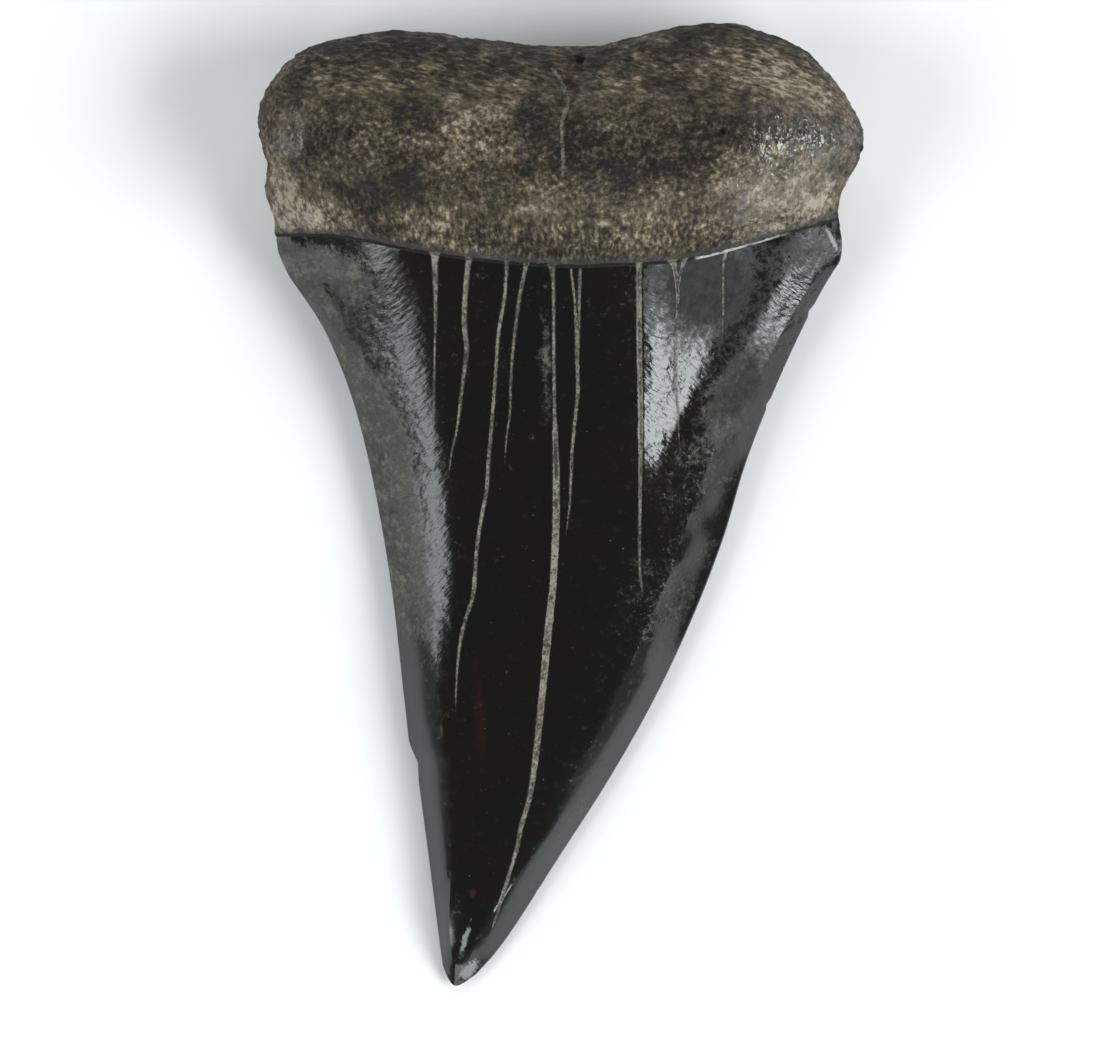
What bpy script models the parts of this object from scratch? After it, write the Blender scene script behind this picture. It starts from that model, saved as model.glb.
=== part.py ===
"""A fossil mako shark tooth, lying on its flat labial face with the rounded lingual face up.

The tooth is one solid: a two-lobed root at +Y and a blade-like crown that narrows to its tip at -Y.
It is two sheets, lingual above and labial below, that share the outline as their common edge. Each
sheet is a Delaunay mesh over the outline, and its heights come from the relief functions below.

Run it with: blender --background --python part.py
Lengths are in millimetres until the mesh is made, in metres.
"""

import math

import bmesh
import bpy
import numpy as np
from mathutils import Vector, noise
from mathutils.geometry import delaunay_2d_cdt

MM = 0.001

# The outline seen from above, in three smooth runs that meet in corners. The tooth is 64.2 mm
# from tip to root and 40.4 mm wide, and x = y = 0 is the middle of that box.
LEFT_EDGE = [  # the left cutting edge, from the tip to the shoulder
    (-7.1, -32.1), (-7.8, -31.0), (-8.3, -27.7), (-8.8, -23.7), (-9.5, -18.4), (-9.6, -17.2),
    (-10.1, -15.9), (-10.5, -12.6), (-11.3, -5.6), (-12.5, 1.4), (-13.9, 7.0), (-15.8, 11.7),
    (-18.2, 15.4), (-18.9, 17.1),
]
ROOT_RIM = [  # round the root, from the left shoulder over both lobes to the right shoulder
    (-18.9, 17.1), (-19.2, 19.0), (-19.75, 21.0), (-19.6, 22.4), (-20.2, 25.3), (-19.5, 28.0),
    (-17.2, 30.3), (-13.7, 31.3), (-10.4, 31.6), (-5.6, 31.1), (-0.8, 30.6), (2.8, 30.7),
    (6.2, 31.6), (9.6, 32.1), (12.9, 31.8), (16.2, 30.3), (19.0, 27.3), (20.2, 24.4),
    (19.4, 22.1), (18.5, 20.0), (18.75, 17.4), (18.6, 16.3),
]
RIGHT_EDGE = [  # the right cutting edge, from the shoulder to the tip
    (18.6, 16.3), (16.9, 13.4), (14.5, 8.3), (12.4, 3.0), (10.8, -2.3), (8.7, -7.7), (6.2, -13.0),
    (3.2, -18.3), (-0.2, -23.6), (-3.7, -29.0), (-5.9, -31.5), (-7.1, -32.1),
]

# Where the root's bone meets the enamel, as (x, y): on the lingual face, then on the labial face.
LINGUAL_NECK = [
    (-18.9, 18.1), (-14.3, 17.9), (-8.6, 16.8), (-1.0, 16.0), (4.7, 16.1), (8.8, 16.5),
    (14.0, 17.9), (18.5, 19.2),
]
LABIAL_NECK = [(-19.0, 17.8), (-10.0, 19.8), (0.0, 20.4), (10.0, 20.1), (18.6, 18.4)]

# Heights above the face that the tooth lies on.
RIM_HEIGHT = [  # of the cutting edges and the root's rim, against y
    (-32.1, 0.5), (-27.0, 0.7), (-15.0, 1.0), (0.0, 1.5), (11.0, 2.2), (16.0, 3.3), (21.0, 5.1),
    (26.0, 5.6), (32.1, 5.2),
]
ROOT_TOP = [  # of the root's lingual face in the middle, against y: thickest just above the neck
    (15.0, 11.4), (18.0, 12.3), (21.5, 12.9), (25.0, 12.3), (28.0, 10.9), (32.1, 8.2),
]
LABIAL_HOLLOW = [  # of the crown's labial face in the middle, against y
    (-32.1, 0.2), (-29.0, 0.0), (-24.0, 0.0), (-12.0, 0.3), (4.0, 0.5), (16.0, 0.6), (21.0, 0.4),
]

# The lines that run down the crown's lingual face, each as (x, y, height) from the tip to above the
# neck. The face passes smoothly from one to the next, from the left cutting edge to the right one.
LEFT_RIDGE = [  # the inner side of the left bevel
    (-7.1, -32.1, 0.5), (-7.3, -30.0, 1.5), (-7.45, -28.0, 2.05), (-7.35, -23.0, 2.72),
    (-7.55, -19.0, 3.12), (-8.1, -13.0, 3.58), (-8.35, -9.0, 3.65), (-8.7, -5.0, 3.58),
    (-9.4, 0.0, 3.75), (-10.2, 4.0, 4.05), (-12.0, 8.0, 4.2), (-14.4, 12.0, 4.2),
    (-16.8, 16.0, 4.65), (-18.0, 20.0, 6.0),
]
LEFT_FLANK = [  # the inner side of the left flank, a narrow one that ends in a point at y = -10
    (-7.1, -32.1, 0.5), (-7.0, -30.0, 1.6), (-6.95, -28.0, 2.2), (-6.6, -23.0, 2.85),
    (-6.9, -19.0, 3.25), (-7.6, -13.0, 3.68), (-7.65, -9.0, 3.87), (-7.4, -5.0, 4.2),
    (-7.7, 0.0, 4.62), (-8.1, 4.0, 5.2), (-8.4, 8.0, 5.95), (-8.8, 12.0, 6.9), (-9.5, 16.0, 8.3),
    (-10.0, 20.0, 9.6),
]
BACK = [  # the highest line
    (-7.1, -32.1, 0.5), (-6.8, -31.0, 1.3), (-6.5, -30.0, 1.75), (-6.1, -28.0, 2.45),
    (-4.5, -23.0, 3.1), (-3.3, -19.0, 3.6), (-2.1, -13.0, 4.12), (-0.7, -5.0, 4.72),
    (0.0, 0.0, 5.17), (0.0, 4.0, 5.75), (0.0, 8.0, 6.45), (0.0, 12.0, 7.35), (0.0, 16.0, 8.7),
    (0.0, 20.0, 10.2),
]
RIGHT_FLANK = [  # the inner side of the right flank
    (-7.1, -32.1, 0.5), (-6.2, -30.0, 1.72), (-5.6, -28.0, 2.4), (-3.2, -23.0, 3.0),
    (-1.6, -19.0, 3.45), (1.0, -13.0, 3.87), (4.4, -5.0, 4.27), (5.3, 0.0, 4.67),
    (5.35, 4.0, 5.3), (5.4, 8.0, 6.05), (5.45, 12.0, 6.95), (5.5, 16.0, 8.3), (5.5, 20.0, 9.8),
]
VALLEY = [  # the outer side of the right flank, where a shallow valley begins
    (-7.1, -32.1, 0.5), (-6.1, -30.0, 1.7), (-5.4, -28.0, 2.37), (-2.7, -23.0, 2.93),
    (-0.8, -19.0, 3.34), (1.9, -13.0, 3.74), (5.2, -5.0, 4.13), (6.3, 0.0, 4.49), (7.1, 4.0, 4.57),
    (7.9, 5.9, 4.38), (9.4, 8.0, 4.2), (10.6, 12.0, 4.6), (12.2, 16.0, 5.4), (13.4, 20.0, 6.8),
]
SHOULDER = [  # the outer side of the valley
    (-7.1, -32.1, 0.5), (-6.05, -30.0, 1.68), (-5.2, -28.0, 2.34), (-2.2, -23.0, 2.85),
    (0.0, -19.0, 3.2), (2.7, -13.0, 3.62), (6.1, -5.0, 3.96), (7.7, 0.0, 4.18), (9.2, 4.0, 4.19),
    (11.7, 8.0, 3.95), (13.2, 12.0, 4.38), (15.4, 16.0, 5.0), (16.8, 20.0, 6.2),
]
RIGHT_RIDGE = [  # the inner side of the right bevel
    (-7.1, -32.1, 0.5), (-6.0, -30.0, 1.65), (-5.0, -28.0, 2.3), (-2.9, -24.8, 2.62),
    (-0.9, -21.8, 2.85), (0.9, -18.3, 3.1), (3.5, -13.0, 3.5), (7.1, -5.0, 3.76), (8.8, 0.0, 3.94),
    (10.4, 4.0, 3.88), (12.9, 8.0, 3.33), (15.0, 12.0, 3.5), (17.4, 16.0, 4.05), (18.1, 20.0, 5.2),
]
CROWN_LINES = [LEFT_RIDGE, LEFT_FLANK, BACK, RIGHT_FLANK, VALLEY, SHOULDER, RIGHT_RIDGE]

# Shares of the labial hollow's depth, against the share of the half width from the middle to the
# edge. It starts with a mirrored point, so that the middle is level.
LABIAL_SECTION = [(-0.5, 0.82), (0.0, 1.0), (0.5, 0.82), (0.8, 0.42), (1.0, 0.0)]

ROOT_ROUND = 5.6  # how far in from its rim the root's lingual face rounds over
ROOT_UNDER_ROUND = 4.0  # the same on the labial face
LOBE_SLOPE = 1.3  # how much lower the root's top is at its sides than in the middle
NECK_STEP = 0.35  # how far the bone stands over the enamel at the lingual neck
NECK_RUN = 6.0  # how far above the neck the bone takes to reach its full height
LABIAL_STEP = 0.15  # how far the labial enamel stands over the bone

# Lumps and hollows on the root's lingual face: (x, y, radius, height).
ROOT_LUMPS = [
    (-12.5, 25.5, 6.5, 0.6), (12.8, 26.0, 6.0, 0.9), (1.0, 20.0, 7.0, 0.5), (14.8, 20.6, 3.2, 0.45),
    (-15.0, 20.0, 3.5, -0.35), (7.0, 23.4, 2.8, -0.4), (-2.8, 25.2, 2.8, -0.25),
    (-17.6, 21.3, 1.6, -0.35), (1.0, 29.0, 3.0, -0.9),
]
NUTRIENT_GROOVE = [(0.2, 29.6), (0.5, 27.2), (0.2, 24.6), (0.1, 21.6)]
GROOVE_WIDTH = 1.3
GROOVE_DEPTH = 0.3
# Broad grain of the weathered bone: (size of the lumps, height), and of the enamel.
BONE_GRAIN = [(5.0, 0.28), (1.9, 0.24)]
ENAMEL_GRAIN = [(7.0, 0.07)]

# The flats that the tooth lies on: (middle x, middle y, half width, half height).
ROOT_FLAT = (0.0, 25.2, 12.5, 2.6)
TIP_FLAT = (-5.0, -25.4, 0.8, 1.6)

OUTLINE_SPACING = 1.0
LINGUAL_SPACING = 0.93
LABIAL_SPACING = 1.4
LINE_SPACING = 0.65  # along the crown's lines
ROW_GAP = 0.25  # two points of the rows are never nearer to each other than this
# Rows of points this far inside the root's rim, where it rounds over, and inside the crown's edges.
ROOT_ROWS = [0.12, 0.5, 1.2, 2.1]
CROWN_ROWS = [0.35, 1.0]
NECK_HALF_STEP = 0.15  # from the neck's line to the rows of points at its foot and brow
NECK_CLEARANCE = 0.4  # between the outline and the ends of those rows
ROW_CLEARANCE = 0.7  # between the neck's line and the ends of the rows along the crown's lines
SHOULDER_Y = 17.0  # the crown is below it, the root above


def clear_scene():
    for old in list(bpy.data.objects):
        bpy.data.objects.remove(old)


def smooth_curve(points, spacing):
    """Points about SPACING apart on a Catmull-Rom curve through POINTS, in any number of columns."""
    p = np.array([points[0], *points, points[-1]], float)
    made = []
    for a, b, c, d in zip(p, p[1:], p[2:], p[3:]):
        steps = max(1, round(math.dist(b, c) / spacing))
        for t in np.arange(steps) / steps:
            bend = (2 * a - 5 * b + 4 * c - d) * t**2 + (3 * b - a - 3 * c + d) * t**3
            made.append(b + 0.5 * ((c - a) * t + bend))
    return np.array([*made, p[-1]])


def along(table, value):
    """The second column of TABLE, read at VALUE of the first, on a smooth curve."""
    x, y = np.array(table, float).T
    slope = np.gradient(y, x)
    value = np.clip(value, x[0], x[-1])
    i = np.clip(np.searchsorted(x, value) - 1, 0, len(x) - 2)
    h = x[i + 1] - x[i]
    t = (value - x[i]) / h
    return (
        y[i] * (1 + 2 * t) * (1 - t) ** 2
        + slope[i] * h * t * (1 - t) ** 2
        + y[i + 1] * t**2 * (3 - 2 * t)
        - slope[i + 1] * h * t**2 * (1 - t)
    )


def distance_to(line, points, closed=False):
    """Distance of each of POINTS from the polyline LINE."""
    starts = line if closed else line[:-1]
    runs = (np.roll(line, -1, axis=0) if closed else line[1:]) - starts
    offsets = points[:, None] - starts
    share = np.clip((offsets * runs).sum(2) / (runs**2).sum(1), 0, 1)
    return np.linalg.norm(offsets - share[..., None] * runs, axis=2).min(1)


def rounded(share):
    """A quarter circle: 0 at a rim, level from a share of 1 on."""
    return np.sqrt(1 - (1 - np.clip(share, 0, 1)) ** 2)


def eased(share):
    share = np.clip(share, 0, 1)
    return share**2 * (3 - 2 * share)


def grain(points, layers, seed):
    """Seamless lumps: for each (size, height) layer, smooth noise of that size."""
    total = np.zeros(len(points))
    for size, height in layers:
        total += [height * noise.noise(Vector((x / size, y / size, seed))) for x, y in points]
    return total


def edges_at(y):
    """x of the left and the right cutting edge at Y."""
    left = smooth_curve(LEFT_EDGE, OUTLINE_SPACING)
    right = smooth_curve(RIGHT_EDGE, OUTLINE_SPACING)[::-1]
    return np.interp(y, left[:, 1], left[:, 0]), np.interp(y, right[:, 1], right[:, 0])


def across(points):
    """Where each point lies between the cutting edges: -1 on the left one, 1 on the right one."""
    x_left, x_right = edges_at(points[:, 1])
    half = np.maximum((x_right - x_left) / 2, 0.05)
    return np.clip((points[:, 0] - x_left) / half - 1, -1, 1)


def between(lines_x, lines_z, x):
    """Height at each X on a smooth curve across the rows of LINES_X and LINES_Z, without overshoot."""
    runs = np.maximum(np.diff(lines_x, axis=0), 0.02)
    steep = np.diff(lines_z, axis=0) / runs
    same = steep[1:] * steep[:-1] > 0
    total = np.where(same, steep[1:] + steep[:-1], 1)
    slope = np.vstack([steep[:1], np.where(same, 2 * steep[1:] * steep[:-1] / total, 0), steep[-1:]])
    i = np.clip((x > lines_x).sum(0) - 1, 0, len(runs) - 1)
    column = np.arange(len(x))
    h = runs[i, column]
    t = np.clip((x - lines_x[i, column]) / h, 0, 1)
    return (
        lines_z[i, column] * (1 + 2 * t) * (1 - t) ** 2
        + slope[i, column] * h * t * (1 - t) ** 2
        + lines_z[i + 1, column] * t**2 * (3 - 2 * t)
        - slope[i + 1, column] * h * t**2 * (1 - t)
    )


def crown_lingual(points):
    x, y = points.T
    x_left, x_right = edges_at(y)
    rim = along(RIM_HEIGHT, y)
    lines_x = [x_left, *(along([(b, a) for a, b, _ in line], y) for line in CROWN_LINES), x_right]
    lines_z = [rim, *(along([(b, c) for _, b, c in line], y) for line in CROWN_LINES), rim]
    lumps = grain(points, ENAMEL_GRAIN, 3.0) * np.sqrt(1 - across(points) ** 2)
    return between(np.array(lines_x), np.array(lines_z), x) + lumps


def root_lingual(points, inside):
    """The root's bone: a pillow that rounds over to its rim, with lumps, grain and a groove."""
    x, y = points.T
    rim = along(RIM_HEIGHT, y)
    top = along(ROOT_TOP, y) - LOBE_SLOPE * (x / ROOT_RIM[0][0]) ** 2
    root = rim + (top - rim) * rounded(inside / ROOT_ROUND)
    for lump_x, lump_y, radius, height in ROOT_LUMPS:
        reach = np.hypot(x - lump_x, y - lump_y) / radius
        root += height * (1 - eased(reach)) * rounded(inside / 2.0)
    root += grain(points, BONE_GRAIN, 0.0) * rounded(inside / 1.5)
    groove = distance_to(smooth_curve(NUTRIENT_GROOVE, 0.5), points) / GROOVE_WIDTH
    return root - GROOVE_DEPTH * (1 - eased(groove))


def lingual_height(points, outline):
    """Height of the lingual face: the crown's section, and above the neck the root's bone."""
    inside = distance_to(outline, points, closed=True)
    crown = crown_lingual(points)
    above = points[:, 1] - along(LINGUAL_NECK, points[:, 0])
    rise = np.sin(math.pi / 2 * np.clip(above / NECK_RUN, 0, 1))
    brow = crown + NECK_STEP * np.clip(inside, 0, 1)
    bone = brow * (1 - rise) + root_lingual(points, inside) * rise
    return np.where(above > 0, bone, crown)


def flat_share(points, flat):
    """1 on a flat that the tooth lies on, fading to 0 round it."""
    x, y, half_width, half_height = flat
    over = np.maximum(np.abs(points[:, 0] - x) - half_width, np.abs(points[:, 1] - y) - half_height)
    return 1 - eased(over / 1.2)


def labial_height(points, outline):
    """Height of the labial face, which is nearly flat: zero on the two flats that it lies on."""
    y = points[:, 1]
    inside = distance_to(outline, points, closed=True)
    rim = along(RIM_HEIGHT, y)
    above = y - along(LABIAL_NECK, points[:, 0])
    crown = rim - (rim - along(LABIAL_HOLLOW, y)) * along(LABIAL_SECTION, np.abs(across(points)))
    root = rim - rim * rounded(inside / ROOT_UNDER_ROUND)
    root += (0.12 + 0.5 * np.abs(grain(points, BONE_GRAIN, 9.0))) * rounded(inside / 2.0)
    blend = eased((above + 1.5) / 3.0)
    height = crown * (1 - blend) + root * blend
    height += LABIAL_STEP * eased(above / 0.8) * rounded(inside / 2.0)
    for flat in (ROOT_FLAT, TIP_FLAT):
        height *= 1 - flat_share(points, flat)
    return np.maximum(height, 0)


def inset(outline, distance):
    """The outline moved inward by DISTANCE."""
    ahead = np.roll(outline, -1, axis=0) - np.roll(outline, 1, axis=0)
    inward = np.column_stack([ahead[:, 1], -ahead[:, 0]])
    inward /= np.linalg.norm(inward, axis=1)[:, None]
    moved = outline + distance * inward
    return moved[distance_to(outline, moved, closed=True) > 0.95 * distance]


def lattice(outline, spacing):
    """A triangular lattice of points inside the outline."""
    low, high = outline.min(0), outline.max(0)
    rows = np.arange(low[1], high[1], spacing * math.sqrt(3) / 2)
    columns = np.arange(low[0], high[0], spacing)
    points = np.array([(x + (i % 2) * spacing / 2, y) for i, y in enumerate(rows) for x in columns])
    inside = np.zeros(len(points), bool)
    for (x0, y0), (x1, y1) in zip(outline, np.roll(outline, -1, axis=0)):
        crosses = (points[:, 1] < y0) != (points[:, 1] < y1)
        x_there = x0 + (x1 - x0) * (points[:, 1] - y0) / (y1 - y0 or 1)
        inside ^= crosses & (points[:, 0] < x_there)
    return points[inside]


def spread(kept, points, gap):
    """KEPT with those of POINTS that are further than GAP from every one kept before."""
    for point in points:
        if np.linalg.norm(kept - point, axis=1).min() > gap:
            kept = np.vstack([kept, point])
    return kept


def sheet_points(outline, spacing, lines):
    """The outline's points, then rows along LINES and inside the outline, then a lattice."""
    rows = [row[row[:, 1] > SHOULDER_Y] for row in (inset(outline, depth) for depth in ROOT_ROWS)]
    rows += [row[row[:, 1] < SHOULDER_Y] for row in (inset(outline, depth) for depth in CROWN_ROWS)]
    points = outline
    for row in (*lines, *rows):
        points = spread(points, row, ROW_GAP)
    return spread(points, lattice(outline, spacing), 0.62 * spacing)


def add_sheet(bm, rim, points, heights, facing):
    """Adds one face of the tooth to the mesh. Its first points are the shared RIM's."""
    coordinates = [Vector(p) for p in points]
    made, _, triangles, sources = delaunay_2d_cdt(coordinates, [], [range(len(rim))], 1, 1e-5)[:4]
    vertices = []
    for (x, y), source in zip(made, sources):
        first = min(source)
        on_rim = first < len(rim)
        vertices.append(rim[first] if on_rim else bm.verts.new((x * MM, y * MM, heights[first] * MM)))
    for triangle in triangles:
        bm.faces.new([vertices[i] for i in triangle][::facing])


def neck_rows(outline):
    """Two rows of points, at the foot and at the brow of the lingual neck's step."""
    x = np.arange(LINGUAL_NECK[0][0], LINGUAL_NECK[-1][0], LINGUAL_SPACING)
    neck = np.column_stack([x, along(LINGUAL_NECK, x)])
    rows = [neck - (0, NECK_HALF_STEP), neck + (0, NECK_HALF_STEP)]
    return [row[distance_to(outline, row, closed=True) > NECK_CLEARANCE] for row in rows]


def crown_rows(outline):
    """Rows of points along the crown's lines, up to the neck: first those of its two ridges."""
    lines = [LEFT_RIDGE, RIGHT_RIDGE, LEFT_FLANK, RIGHT_FLANK, VALLEY, SHOULDER]
    rows = [smooth_curve(line, LINE_SPACING)[:, :2] for line in lines]
    rows = [row[row[:, 1] < along(LINGUAL_NECK, row[:, 0]) - ROW_CLEARANCE] for row in rows]
    return [row[distance_to(outline, row, closed=True) > ROW_CLEARANCE / 2] for row in rows]


def groove_rows():
    """Rows of points along the bed and both banks of the nutrient groove."""
    bed = smooth_curve(NUTRIENT_GROOVE, 0.8 * LINGUAL_SPACING)
    return [bed + (share * GROOVE_WIDTH, 0) for share in (-1, -0.5, 0, 0.5, 1)]


def tooth_material():
    material = bpy.data.materials.new("fossil_tooth")
    material.use_nodes = True
    shader = material.node_tree.nodes["Principled BSDF"]
    shader.inputs["Base Color"].default_value = (0.055, 0.048, 0.038, 1)
    shader.inputs["Roughness"].default_value = 0.4
    shader.inputs["Metallic"].default_value = 0.0
    return material


def make_tooth():
    runs = [smooth_curve(run, OUTLINE_SPACING) for run in (LEFT_EDGE, ROOT_RIM, RIGHT_EDGE)]
    outline = np.vstack([run[:-1] for run in runs])
    rim_heights = along(RIM_HEIGHT, outline[:, 1])
    bm = bmesh.new()
    rim = [bm.verts.new((x * MM, y * MM, z * MM)) for (x, y), z in zip(outline, rim_heights)]
    lines = [*neck_rows(outline), *groove_rows(), *crown_rows(outline)]
    lingual = sheet_points(outline, LINGUAL_SPACING, lines)
    labial = sheet_points(outline, LABIAL_SPACING, [])
    add_sheet(bm, rim, lingual, lingual_height(lingual, outline), 1)
    add_sheet(bm, rim, labial, labial_height(labial, outline), -1)
    mesh = bpy.data.meshes.new("tooth")
    bm.to_mesh(mesh)
    bm.free()
    mesh.shade_smooth()
    mesh.set_sharp_from_angle(angle=math.radians(50))
    mesh.materials.append(tooth_material())
    tooth = bpy.data.objects.new("tooth", mesh)
    bpy.context.scene.collection.objects.link(tooth)


clear_scene()
make_tooth()
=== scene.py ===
import math

import bmesh
import bpy
import numpy as np
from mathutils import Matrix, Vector, noise
from mathutils.bvhtree import BVHTree
from mathutils.geometry import delaunay_2d_cdt
from mathutils.kdtree import KDTree


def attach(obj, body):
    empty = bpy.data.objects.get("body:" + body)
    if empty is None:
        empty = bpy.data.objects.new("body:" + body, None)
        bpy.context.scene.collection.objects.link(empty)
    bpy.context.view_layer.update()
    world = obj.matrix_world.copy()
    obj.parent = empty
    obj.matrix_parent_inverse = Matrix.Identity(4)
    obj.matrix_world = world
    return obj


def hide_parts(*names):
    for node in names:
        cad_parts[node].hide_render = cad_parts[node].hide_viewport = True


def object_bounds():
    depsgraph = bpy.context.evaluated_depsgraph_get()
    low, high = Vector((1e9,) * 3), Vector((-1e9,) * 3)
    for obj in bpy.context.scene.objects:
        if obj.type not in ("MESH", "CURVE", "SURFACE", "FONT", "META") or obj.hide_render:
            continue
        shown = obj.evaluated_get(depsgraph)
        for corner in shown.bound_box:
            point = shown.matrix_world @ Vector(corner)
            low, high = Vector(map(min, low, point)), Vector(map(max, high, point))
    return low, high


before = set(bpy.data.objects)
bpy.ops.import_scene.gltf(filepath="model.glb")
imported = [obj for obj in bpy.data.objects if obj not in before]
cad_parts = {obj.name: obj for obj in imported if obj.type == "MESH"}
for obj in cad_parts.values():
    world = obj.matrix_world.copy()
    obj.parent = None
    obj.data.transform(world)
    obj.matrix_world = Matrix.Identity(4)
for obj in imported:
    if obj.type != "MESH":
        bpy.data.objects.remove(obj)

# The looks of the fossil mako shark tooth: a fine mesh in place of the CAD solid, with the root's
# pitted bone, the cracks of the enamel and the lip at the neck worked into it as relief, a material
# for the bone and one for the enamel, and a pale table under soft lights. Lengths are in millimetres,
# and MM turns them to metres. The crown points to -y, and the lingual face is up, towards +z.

MM = 0.001
cad_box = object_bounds()

# The photograph's frame, in pixels: its size, its scale at the tooth's outline, and where the tooth's
# x = y = 0 is in it.
FRAME_WIDTH, FRAME_HEIGHT = 1113, 1051
PIXELS_PER_MM = 15.0
TOOTH_AT = (561.0, 505.0)
OUTLINE_HEIGHT = 3.0
CAMERA_DISTANCE = 1.5  # metres

# Where the root's bone meets the enamel, as (x, y): on the lingual face, then on the labial face.
LINGUAL_NECK = [
    (-18.9, 18.1), (-14.3, 17.9), (-8.6, 16.8), (-1.0, 16.0), (4.7, 16.1), (8.8, 16.5),
    (14.0, 17.9), (18.5, 19.2),
]
LABIAL_NECK = [(-19.0, 17.8), (-10.0, 19.8), (0.0, 20.4), (10.0, 20.1), (18.6, 18.4)]
SHOULDER_Y = 17.0  # the crown's edges are below it, the root's rim above

# The inner sides of the bevels along the cutting edges, as (x, y).
LEFT_BEVEL = [
    (-7.1, -32.1), (-7.3, -30.0), (-7.45, -28.0), (-7.35, -23.0), (-7.55, -19.0), (-8.1, -13.0),
    (-8.35, -9.0), (-8.7, -5.0), (-9.4, 0.0), (-10.2, 4.0), (-12.0, 8.0), (-14.4, 12.0),
    (-16.8, 16.0), (-18.9, 19.0),
]
RIGHT_BEVEL = [
    (-7.1, -32.1), (-6.0, -30.0), (-5.0, -28.0), (-2.9, -24.8), (-0.9, -21.8), (0.9, -18.3),
    (3.5, -13.0), (7.1, -5.0), (8.8, 0.0), (10.4, 4.0), (12.9, 8.0), (15.0, 12.0), (17.4, 16.0),
    (18.6, 19.0),
]

# The cracks in the lingual enamel, each as (x, y, width). Pale sediment fills them.
CRACKS = [
    [(-8.4, 16.7, 0.4), (-8.35, 13.8, 0.22), (-8.4, 10.5, 0.11), (-8.45, 7.4, 0.09), (-8.5, 2.0, 0.04)],
    [
        (-6.1, 16.5, 0.3), (-6.3, 14.9, 0.3), (-6.45, 12.2, 0.28), (-6.3, 10.3, 0.26),
        (-6.6, 7.7, 0.19), (-6.95, 5.0, 0.13), (-7.3, 3.4, 0.1), (-7.5, 1.5, 0.05),
    ],
    [
        (-3.6, 16.2, 0.16), (-3.75, 13.8, 0.19), (-4.15, 11.5, 0.2), (-4.35, 8.8, 0.2),
        (-4.55, 6.2, 0.2), (-4.85, 2.7, 0.22), (-4.95, 1.1, 0.22), (-5.35, -1.1, 0.22),
        (-5.65, -3.2, 0.22), (-5.85, -5.9, 0.24), (-6.4, -7.7, 0.19), (-6.75, -9.3, 0.16),
        (-6.95, -11.4, 0.11), (-7.05, -14.1, 0.05),
    ],
    [
        (-2.3, 16.0, 0.22), (-2.75, 13.8, 0.2), (-3.15, 10.8, 0.16), (-3.35, 8.1, 0.14),
        (-3.4, 6.1, 0.11), (-3.6, 4.7, 0.09), (-3.8, 2.3, 0.05),
    ],
    [
        (-0.62, 15.9, 0.3), (-0.5, 14.3, 0.18), (-0.48, 10.2, 0.18), (-0.44, 6.5, 0.2),
        (-0.38, 4.3, 0.34), (-0.33, 2.3, 0.42), (-0.33, -1.1, 0.46), (-0.53, -5.3, 0.46),
        (-0.8, -7.9, 0.5), (-1.13, -11.4, 0.46), (-1.4, -14.2, 0.42), (-1.67, -16.7, 0.38),
        (-2.07, -19.5, 0.28), (-2.6, -21.3, 0.25), (-2.9, -22.8, 0.22), (-3.45, -24.7, 0.17),
        (-4.2, -27.1, 0.11), (-4.73, -28.6, 0.05),
    ],
    [(0.67, 15.6, 0.13), (0.95, 13.0, 0.13), (1.07, 9.3, 0.18)],
    [
        (1.27, 15.6, 0.16), (1.2, 12.5, 0.16), (1.1, 9.4, 0.2), (1.1, 7.3, 0.22),
        (0.75, 3.7, 0.18), (0.6, 0.3, 0.13), (0.3, -2.2, 0.05),
    ],
    [
        (5.2, 16.1, 0.26), (5.25, 10.2, 0.28), (5.33, 5.9, 0.24), (5.33, 2.9, 0.18),
        (5.25, -3.9, 0.12), (5.5, -6.1, 0.05),
    ],
    [
        (7.4, 16.3, 0.34), (7.75, 14.5, 0.26), (7.7, 11.7, 0.15), (7.65, 8.1, 0.12),
        (7.8, 5.9, 0.09), (7.9, 3.0, 0.05),
    ],
    [(8.25, 16.5, 0.24), (7.9, 15.2, 0.18), (7.75, 14.3, 0.15)],
    [(11.0, 16.9, 0.22), (10.8, 15.7, 0.15), (10.8, 13.1, 0.1), (10.75, 10.5, 0.05)],
]
CRACK_DEPTH = 0.035
CRACK_STEP = 0.15  # between points along a crack
CRACK_FLARE = 0.35 / 0.3  # how much of its width a crack gains where it meets the bone

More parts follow.
